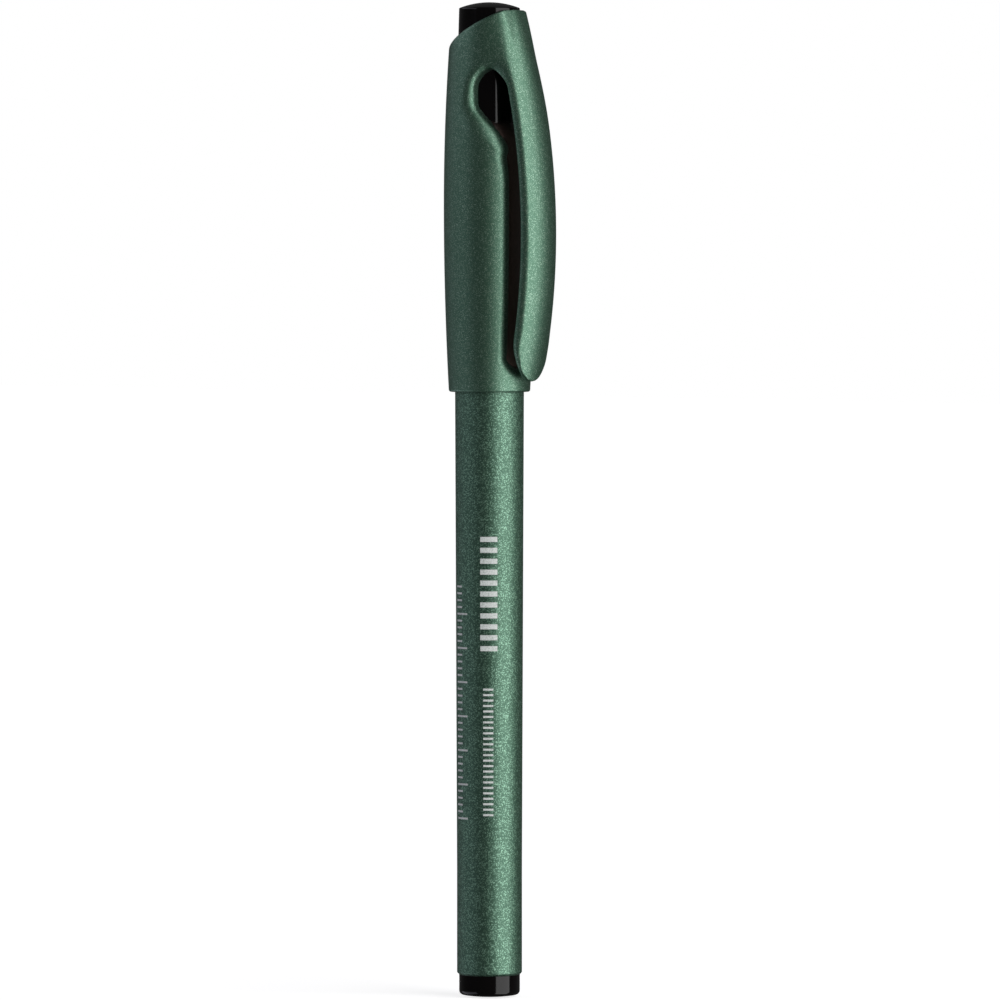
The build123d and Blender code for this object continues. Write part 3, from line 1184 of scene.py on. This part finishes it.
@dataclass
class PrintedMarks(SubAssembly):
    """Plain pale strokes pad-printed along the barrel, wrapped on its surface by Geometry Nodes."""

    barrel: Barrel
    lift: float = 0.012
    stroke_points: int = 14
    columns: tuple[MarkColumn, ...] = (
        MarkColumn(
            "print_bold", count=11, pitch=1.6, start_z=51.4, start_angle=-66.0,
            short=2.55, long=2.55, every=1, stroke=0.75,
        ),
        MarkColumn(
            "print_fine", count=24, pitch=0.8, start_z=27.0, start_angle=-61.0,
            short=1.5, long=1.5, every=1, stroke=0.3,
        ),
        MarkColumn(
            "print_scale", count=35, pitch=1.0, start_z=26.4, start_angle=-122.0,
            short=1.5, long=2.6, every=5, stroke=0.28,
        ),
    )

    def laid_strokes(self, sheet: NodeSheet, given: object) -> NodeSocket:
        """Adds the nodes that lay a column's strokes flat, each from its left end.

        Args:
            sheet: The print's nodes.
            given: Their inputs, by name.

        Returns:
            The socket with the strokes' mesh.
        """
        step = sheet.add("ShaderNodeCombineXYZ", {"Y": given["Pitch"]})
        sockets = {"Count": given["Count"], "Offset": step.outputs[0]}
        line = sheet.add("GeometryNodeMeshLine", sockets)
        stroke = sheet.add(
            "GeometryNodeMeshGrid",
            {"Size X": 1.0, "Size Y": given["Stroke"], "Vertices X": self.stroke_points, "Vertices Y": 2},
        )
        sockets = {"Geometry": stroke.outputs["Mesh"], "Translation": (0.5, 0.0, 0.0)}
        from_left = sheet.add("GeometryNodeTransform", sockets)
        index = sheet.add("GeometryNodeInputIndex").outputs[0]
        turn = sheet.sums("MODULO", index, given["Every"])
        is_long = sheet.sums("LESS_THAN", turn, 0.5)
        length = sheet.spread(is_long, (0.0, 1.0), (given["Short"], given["Long"]))
        size = sheet.add("ShaderNodeCombineXYZ", {"X": length, "Y": 1.0, "Z": 1.0})
        laid = sheet.add(
            "GeometryNodeInstanceOnPoints",
            {
                "Points": line.outputs["Mesh"],
                "Instance": from_left.outputs["Geometry"],
                "Scale": size.outputs[0],
            },
        )
        sockets = {"Geometry": laid.outputs["Instances"]}
        return sheet.add("GeometryNodeRealizeInstances", sockets).outputs["Geometry"]

    def tree(self) -> tuple[NodeTree, dict[str, str]]:
        """Builds the node tree that lays strokes in a column and wraps them on the tapered tube.

        Returns:
            The tree and the identifier of each named input.
        """
        tree = bpy.data.node_groups.new("strokes_on_barrel", "GeometryNodeTree")
        tree.interface.new_socket("Geometry", in_out="OUTPUT", socket_type="NodeSocketGeometry")
        ids: dict[str, str] = {}
        kinds = {"Count": "NodeSocketInt", "Every": "NodeSocketInt", "Ink": "NodeSocketMaterial"}
        names = ("Count", "Every", "Pitch", "Short", "Long", "Stroke", "Start Height", "Start Angle")
        names += ("Low Height", "High Height", "Low Radius", "High Radius", "Lift", "Ink")
        for name in names:
            kind = kinds.get(name, "NodeSocketFloat")
            ids[name] = tree.interface.new_socket(name, in_out="INPUT", socket_type=kind).identifier
        sheet = NodeSheet(tree)
        given = sheet.add("NodeGroupInput").outputs
        flat = self.laid_strokes(sheet, given)
        at = sheet.add("GeometryNodeInputPosition")
        uv = sheet.add("ShaderNodeSeparateXYZ", {0: at.outputs[0]}).outputs
        height = sheet.sums("ADD", uv["Y"], given["Start Height"])
        heights = (given["Low Height"], given["High Height"])
        radius = sheet.spread(height, heights, (given["Low Radius"], given["High Radius"]))
        lifted = sheet.sums("ADD", radius, given["Lift"])
        arc = sheet.sums("DIVIDE", uv["X"], lifted)
        angle = sheet.sums("ADD", arc, given["Start Angle"])
        x = sheet.sums("MULTIPLY", sheet.sums("COSINE", angle), lifted)
        y = sheet.sums("MULTIPLY", sheet.sums("SINE", angle), lifted)
        wrapped = sheet.add("ShaderNodeCombineXYZ", {"X": x, "Y": y, "Z": height})
        sockets = {"Geometry": flat, "Position": wrapped.outputs[0]}
        placed = sheet.add("GeometryNodeSetPosition", sockets)
        sockets = {"Geometry": placed.outputs["Geometry"], "Material": given["Ink"]}
        dressed = sheet.add("GeometryNodeSetMaterial", sockets)
        sheet.add("NodeGroupOutput", {0: dressed.outputs["Geometry"]})
        return tree, ids

    def build(self) -> list[Object]:
        """Runs the tree for each column and turns the result into a plain mesh.

        Returns:
            The printed pieces.
        """
        tree, ids = self.tree()
        pieces = []
        for column in self.columns:
            carrier = bpy.data.objects.new(column.name, bpy.data.meshes.new(column.name))
            bpy.context.scene.collection.objects.link(carrier)
            modifier = carrier.modifiers.new("strokes", "NODES")
            modifier.node_group = tree
            values = {
                "Count": column.count,
                "Every": column.every,
                "Pitch": column.pitch * MM,
                "Short": column.short * MM,
                "Long": column.long * MM,
                "Stroke": column.stroke * MM,
                "Start Height": column.start_z * MM,
                "Start Angle": math.radians(column.start_angle),
                "Low Height": self.barrel.parallel_z * MM,
                "High Height": self.barrel.front_z * MM,
                "Low Radius": self.barrel.rear_radius * MM,
                "High Radius": self.barrel.front_radius * MM,
                "Lift": self.lift * MM,
                "Ink": self.finishes.ink,
            }
            for name, value in values.items():
                modifier[ids[name]] = value
            graph = bpy.context.evaluated_depsgraph_get()
            mesh = bpy.data.meshes.new_from_object(carrier.evaluated_get(graph))
            carrier.modifiers.clear()
            carrier.data = mesh
            mesh.name = column.name
            mesh.shade_smooth()
            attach(carrier, Body.BARREL.value)
            pieces.append(carrier)
        return pieces


@dataclass
class WritingEnd(SubAssembly):
    """Grip section, steel sleeve and nib, seen once the cap is off."""

    spigot_z: float = 81.2
    front_z: float = 90.2
    ring_z: float = 95.2
    grip_end_z: float = 117.2
    neck_z: float = 123.7
    nose_z: float = 129.2
    nose_end_z: float = 135.7
    seat_z: float = 128.7
    sleeve_end_z: float = 138.1
    nib_start_z: float = 110.8
    nib_tip_z: float = 139.3
    spigot_radius: float = 4.02
    spigot_ease: float = 0.2
    grip_radius: float = 4.45
    grip_ease: float = 0.15
    ring_height: float = 0.06
    ring_half_length: float = 0.6
    ring_ease: float = 1.0
    grip_end_radius: float = 4.15
    taper_ease: float = 3.0
    neck_radius: float = 2.85
    neck_ease: float = 1.2
    nose_end_radius: float = 1.3
    nose_end_ease: float = 0.3
    ink_bore: float = 3.65
    neck_bore: float = 1.85
    sleeve_radius: float = 0.8
    sleeve_clearance: float = 0.03
    sleeve_lip: float = 0.62
    sleeve_lip_length: float = 1.0
    sleeve_draw_ease: float = 0.8
    sleeve_lip_ease: float = 0.08
    sleeve_mouth_ease: float = 0.04
    sleeve_segments: int = 96
    nib_radius: float = 0.4
    nib_bore: float = 0.44
    nib_start_ease: float = 0.05
    nib_tip_radius: float = 0.18
    nib_tip_length: float = 0.7
    nib_taper_ease: float = 0.3
    nib_tip_ease: float = 0.14
    nib_segments: int = 64

    def grip(self) -> Object:
        """Makes the grip with its click ring, taper, sealing neck and nose, hollow for the ink rod.

        Returns:
            The piece.
        """
        seat_radius = self.sleeve_radius + self.sleeve_clearance
        corners = (
            Corner(self.spigot_radius, self.spigot_z, self.spigot_ease),
            Corner(self.spigot_radius, self.front_z),
            Corner(self.grip_radius, self.front_z, self.grip_ease),
            Corner(self.grip_radius, self.ring_z - self.ring_half_length),
            Corner(self.grip_radius + self.ring_height, self.ring_z, self.ring_ease),
            Corner(self.grip_radius, self.ring_z + self.ring_half_length),
            Corner(self.grip_end_radius, self.grip_end_z, self.taper_ease),
            Corner(self.neck_radius, self.neck_z, self.taper_ease),
            Corner(self.neck_radius, self.nose_z, self.neck_ease),
            Corner(self.nose_end_radius, self.nose_end_z, self.nose_end_ease),
            Corner(seat_radius, self.nose_end_z),
            Corner(seat_radius, self.seat_z),
            Corner(self.nib_bore, self.seat_z),
            Corner(self.nib_bore, self.neck_z),
            Corner(self.neck_bore, self.neck_z),
            Corner(self.ink_bore, self.grip_end_z),
            Corner(self.ink_bore, self.spigot_z),
        )
        mesh = turned_mesh("grip_moulding", Outline(corners, True))
        piece = mesh_object("grip_moulding", mesh, self.finishes.matt_black)
        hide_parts("grip_section")
        return piece

    def sleeve(self) -> Object:
        """Makes the steel tube, drawn in round the nib.

        Returns:
            The piece.
        """
        corners = (
            Corner(self.nib_bore, self.seat_z),
            Corner(self.sleeve_radius, self.seat_z),
            Corner(self.sleeve_radius, self.sleeve_end_z - self.sleeve_lip_length, self.sleeve_draw_ease),
            Corner(self.sleeve_lip, self.sleeve_end_z, self.sleeve_lip_ease),
            Corner(self.nib_bore, self.sleeve_end_z, self.sleeve_mouth_ease),
        )
        mesh = turned_mesh("steel_sleeve", Outline(corners, True), self.sleeve_segments)
        piece = mesh_object("steel_sleeve", mesh, self.finishes.steel)
        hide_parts("nib_sleeve")
        return piece

    def nib(self) -> Object:
        """Makes the fine nib rod with a rounded writing point.

        Returns:
            The piece.
        """
        corners = (
            Corner(0, self.nib_start_z),
            Corner(self.nib_radius, self.nib_start_z, self.nib_start_ease),
            Corner(self.nib_radius, self.nib_tip_z - self.nib_tip_length, self.nib_taper_ease),
            Corner(self.nib_tip_radius, self.nib_tip_z, self.nib_tip_ease),
            Corner(0, self.nib_tip_z),
        )
        mesh = turned_mesh("nib_rod", Outline(corners, False), self.nib_segments)
        piece = mesh_object("nib_rod", mesh, self.finishes.nib)
        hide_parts("fineliner_nib")
        return piece

    def build(self) -> list[Object]:
        """Builds and dresses the writing end.

        Returns:
            The pieces.
        """
        pieces = [self.grip(), self.sleeve(), self.nib()]
        for piece in pieces:
            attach(piece, Body.BARREL.value)
        return pieces


@dataclass
class Cap(SubAssembly):
    """Painted cap shell with its clip, and the black inner cap."""

    form: CapForm = field(default_factory=CapForm)
    net: SurfaceNet = field(default_factory=lambda: SurfaceNet(0.22))
    search_margin: float = 0.6
    bend_length: float = 14.0
    liner_radius: float = 5.22
    liner_bore: float = 4.6
    liner_wall: float = 0.62
    liner_clearance: float = 0.05
    liner_z: float = 90.2
    head_radius: float = 4.6
    head_foot_rise: float = 0.2
    neck_radius: float = 4.2
    neck_drop: float = 1.8
    head_top_radius: float = 4.45
    head_bore: float = 3.83
    head_top_z: float = 145.95
    head_edge_z: float = 145.1
    dome_steps: int = 16
    plate_z: float = 143.5
    seal_z: float = 123.7
    seal_bore: float = 2.91
    seal_radius: float = 3.61
    head_edge_ease: float = 0.22
    mouth_ease: float = 0.15
    fine_ease: float = 0.1
    small_ease: float = 0.2
    wide_ease: float = 0.3

    def shell_and_clip(self) -> list[Object]:
        """Meshes the moulding once, then parts it where the clip starts to bend.

        Returns:
            The shell and the clip.
        """
        form = self.form
        reach = form.belly_radius
        low = np.array((-reach, -reach, form.lip_z)) - self.search_margin
        high = np.array((form.apex_x, reach, form.crown_z)) + self.search_margin
        points, quads = self.net.mesh(form, low, high)
        normals = form.slope(points)
        normals = normals / np.maximum(np.linalg.norm(normals, axis=1, keepdims=True), TINY)
        x, y, z = points[quads].mean(axis=1).T
        on_clip = (z < form.root_z) & (form.clip(x, y, z) < form.shell(x, y, z))
        shell = piece_of_net("cap_skin", points, quads[~on_clip], normals, self.finishes.cap_lacquer)
        clip = piece_of_net("clip_blade", points, quads[on_clip], normals, self.finishes.cap_lacquer)
        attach(shell, Body.CAP.value)
        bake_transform(clip)
        for piece, node in ((shell, "cap_shell"), (clip, "pocket_clip")):
            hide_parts(node)
        return [shell, clip]

    def liner(self) -> Object:
        """Makes the inner cap: domed head, wall behind the opening and the sleeve that seals the nose.

        Returns:
            The piece.
        """
        rise = self.head_top_z - self.head_edge_z
        dome = (self.head_top_radius**2 + rise**2) / (2 * rise)
        sweep = math.asin(self.head_top_radius / dome)
        turns = [sweep * k / self.dome_steps for k in range(self.dome_steps)]
        eye_top_z = self.form.eye_bore_z
        shoulder_z = self.form.ledge_z - self.liner_clearance
        neck_foot_z = shoulder_z + self.form.ledge_slope * (self.liner_radius - self.neck_radius)
        ceiling_z = self.form.ledge_z - self.liner_wall
        corners = (
            *(Corner(dome * math.sin(a), self.head_top_z - dome * (1 - math.cos(a))) for a in turns),
            Corner(self.head_top_radius, self.head_edge_z, self.head_edge_ease),
            Corner(self.head_radius, eye_top_z + self.head_foot_rise, self.wide_ease),
            Corner(self.neck_radius, eye_top_z - self.neck_drop, self.wide_ease),
            Corner(self.neck_radius, neck_foot_z, self.small_ease),
            Corner(self.liner_radius, shoulder_z, self.wide_ease),
            Corner(self.liner_radius, self.liner_z, self.mouth_ease),
            Corner(self.liner_bore, self.liner_z, self.mouth_ease),
            Corner(self.liner_bore, ceiling_z, self.wide_ease),
            Corner(self.head_bore, ceiling_z, self.small_ease),
            Corner(self.head_bore, self.plate_z, self.fine_ease),
            Corner(self.seal_radius, self.plate_z, self.fine_ease),
            Corner(self.seal_radius, self.seal_z, self.small_ease),
            Corner(self.seal_bore, self.seal_z, self.wide_ease),
            Corner(self.seal_bore, self.plate_z, self.wide_ease),
            Corner(0, self.plate_z),
        )
        mesh = turned_mesh("inner_cap", Outline(corners, False))
        piece = mesh_object("inner_cap_moulding", mesh, self.finishes.liner_black)
        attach(piece, Body.CAP.value)
        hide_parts("inner_cap")
        return piece

    def build(self) -> list[Object]:
        """Builds and dresses the cap's pieces."""
        return [*self.shell_and_clip(), self.liner()]


def level_direction(azimuth: float) -> Vector:
    """Level unit vector at an azimuth in degrees."""
    return Vector((math.cos(math.radians(azimuth)), math.sin(math.radians(azimuth)), 0))


@dataclass(frozen=True)
class SoftBox:
    """An oblong soft box facing the pen: where it stands, its size, brightness and tint."""

    name: str
    # Turn from the camera's side, to its right where positive.
    turn: float
    distance: float
    width: float
    height: float
    centre_z: float
    brightness: float
    tint: str = "#FFFFFF"

    def build(self, azimuth: float) -> Object:
        """Makes the lamp, which the camera itself doesn't see.

        Args:
            azimuth: The camera's azimuth.

        Returns:
            The lamp.
        """
        lamp = bpy.data.lights.new(self.name, "AREA")
        lamp.shape = "RECTANGLE"
        lamp.size = self.width
        lamp.size_y = self.height
        lamp.color = linear(self.tint)[:3]
        lamp.energy = self.brightness * math.pi * (self.width * self.height)
        box = bpy.data.objects.new(self.name, lamp)
        bpy.context.scene.collection.objects.link(box)
        away = level_direction(azimuth + self.turn)
        box.location = away * self.distance + Vector((0, 0, self.centre_z))
        box.rotation_mode = "QUATERNION"
        box.rotation_quaternion = (-away).to_track_quat("-Z", "Y")
        box.visible_camera = False
        return box


@dataclass
class Studio:
    """White floor and surround, soft boxes and the camera of the photograph, in metres."""

    azimuth: float = -50.0
    distance: float = 1.4
    camera_z: float = 0.120
    aim_z: float = 0.0730
    aim_right: float = 0.00154
    view_height: float = 0.14673
    sensor: float = 36.0
    fill: float = 0.07
    floor_half: float = 3.0
    floor_grey: str = "#BFBFBF"
    near_glow: float = 0.8
    far_glow: float = 0.98
    far_reach: float = 2.2
    # A tall bright box on the right, and two dim cool ones on the left that the blacks don't mirror.
    soft_boxes: tuple[SoftBox, ...] = (
        SoftBox(
            "right_soft_box", turn=53.0, distance=0.9, width=0.97, height=2.3,
            centre_z=0.15, brightness=2.95,
        ),
        SoftBox(
            "left_high_box", turn=-92.0, distance=2.5, width=4.2, height=2.4,
            centre_z=1.62, brightness=0.93, tint="#F0EFFF",
        ),
        SoftBox(
            "left_low_box", turn=-92.0, distance=2.5, width=4.2, height=2.4,
            centre_z=-1.65, brightness=0.93, tint="#F0EFFF",
        ),
    )

    def shown_share(self, sheet: NodeSheet) -> NodeSocket:
        """Adds the test for rays that should meet the white surround.

        Glossy rays aren't among them: a lacquer that mirrors white from all sides turns flat and pale,
        and the blacks turn grey.

        Args:
            sheet: The nodes of the world or of the floor.

        Returns:
            A socket that is 1 for camera and transmission rays.
        """
        path = sheet.add("ShaderNodeLightPath").outputs
        return sheet.sums("MAXIMUM", path["Is Camera Ray"], path["Is Transmission Ray"])

    def world(self) -> None:
        """Sets a surround that is white to the camera and a dim even fill to the surfaces."""
        world = bpy.data.worlds.new("white_surround")
        world.use_nodes = True
        world.node_tree.nodes.clear()
        sheet = NodeSheet(world.node_tree)
        white, dim = (
            sheet.add("ShaderNodeBackground", {"Color": linear("#FFFFFF"), "Strength": strength})
            for strength in (1.0, self.fill)
        )
        sockets = {0: self.shown_share(sheet), 1: dim.outputs[0], 2: white.outputs[0]}
        mixed = sheet.add("ShaderNodeMixShader", sockets)
        sheet.add("ShaderNodeOutputWorld", {"Surface": mixed.outputs[0]})
        bpy.context.scene.world = world

    def floor_material(self) -> Material:
        """White paper, which glows more far from the lamps to stay white and leaves the shadow at the pen.

        Returns:
            The material.
        """
        material, sheet = blank_material("white_paper_floor")
        paper = sheet.add("ShaderNodeBsdfDiffuse", {"Color": linear(self.floor_grey)})
        away = sheet.add("ShaderNodeVectorMath", {0: sheet.place()}, operation="LENGTH").outputs["Value"]
        level = sheet.spread(away, (0.0, self.far_reach), (self.near_glow, self.far_glow))
        sockets = {"Color": linear("#FFFFFF"), "Strength": level}
        glow = sheet.add("ShaderNodeEmission", sockets)
        lit = sheet.add("ShaderNodeAddShader", {0: paper.outputs[0], 1: glow.outputs[0]})
        sockets = {0: self.shown_share(sheet), 1: paper.outputs[0], 2: lit.outputs[0]}
        mixed = sheet.add("ShaderNodeMixShader", sockets)
        sheet.add("ShaderNodeOutputMaterial", {"Surface": mixed.outputs[0]})
        return material

    def floor(self) -> Object:
        """Lays the floor that keeps the pen's shadow.

        Returns:
            The floor.
        """
        half = self.floor_half
        corners = [(-half, -half, 0), (half, -half, 0), (half, half, 0), (-half, half, 0)]
        mesh = bpy.data.meshes.new("floor")
        mesh.from_pydata(corners, [], [(0, 1, 2, 3)])
        floor = mesh_object("floor", mesh, self.floor_material())
        # Reflections and the low box's light pass the floor, as on a pen that stands clear of any table.
        floor.visible_glossy = False
        floor.visible_shadow = False
        return floor

    def camera(self) -> Object:
        """Sets a long lens a little above the middle of the pen.

        Returns:
            The camera.
        """
        data = bpy.data.cameras.new("camera")
        camera = bpy.data.objects.new("camera", data)
        bpy.context.scene.collection.objects.link(camera)
        away = level_direction(self.azimuth)
        aside = Vector((-away.y, away.x, 0)) * self.aim_right
        aim = aside + Vector((0, 0, self.aim_z))
        camera.location = away * self.distance + aside + Vector((0, 0, self.camera_z))
        camera.rotation_mode = "QUATERNION"
        camera.rotation_quaternion = (aim - camera.location).to_track_quat("-Z", "Y")
        data.sensor_width = self.sensor
        data.lens = self.sensor * (aim - camera.location).length / self.view_height
        bpy.context.scene.camera = camera
        return camera

    def build(self) -> None:
        """Sets up the surround, floor, lamps and camera."""
        self.world()
        self.floor()
        for box in self.soft_boxes:
            box.build(self.azimuth)
        self.camera()
        bpy.context.scene.view_settings.view_transform = "Standard"


def main() -> None:
    logging.basicConfig(level=logging.INFO, format="%(name)s: %(message)s")
    finishes = Finishes()
    barrel = Barrel(finishes)
    for assembly in (barrel, PrintedMarks(finishes, barrel), WritingEnd(finishes), Cap(finishes)):
        for piece in assembly.build():
            LOG.info("%s: %s with %d faces", type(assembly).__name__, piece.name, len(piece.data.polygons))
    Studio().build()


if __name__ == "__main__":
    main()
